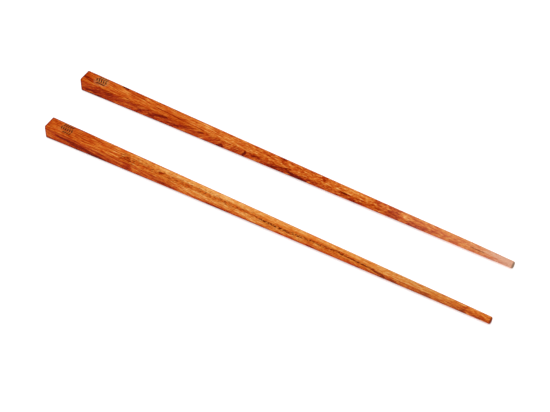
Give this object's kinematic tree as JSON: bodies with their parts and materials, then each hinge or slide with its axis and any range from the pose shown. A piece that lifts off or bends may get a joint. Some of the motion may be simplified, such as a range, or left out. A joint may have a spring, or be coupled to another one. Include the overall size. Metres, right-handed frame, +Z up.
{
  "type": "pair of wooden chopsticks",
  "caption": "Pair of plain hardwood chopsticks, square at the head and tapering to a round tip, lying side by side.",
  "frame": {"origin": "centre of the pair's bounding box, on the surface that the sticks lie on", "axes": "+X along the sticks, from the heads to the tips, +Y from the front stick to the rear stick, +Z up"},
  "size_m": [0.2446, 0.0452, 0.008],
  "materials": {
    "rear_wood": "figured red-orange hardwood, oiled to a soft gloss, its tip worn pale",
    "front_wood": "straight-grained orange hardwood with dark pore lines, oiled to a soft gloss"
  },
  "bodies": {
    "root": {"rear_chopstick": "rear_wood", "front_chopstick": "front_wood"}
  },
  "joints": []
}
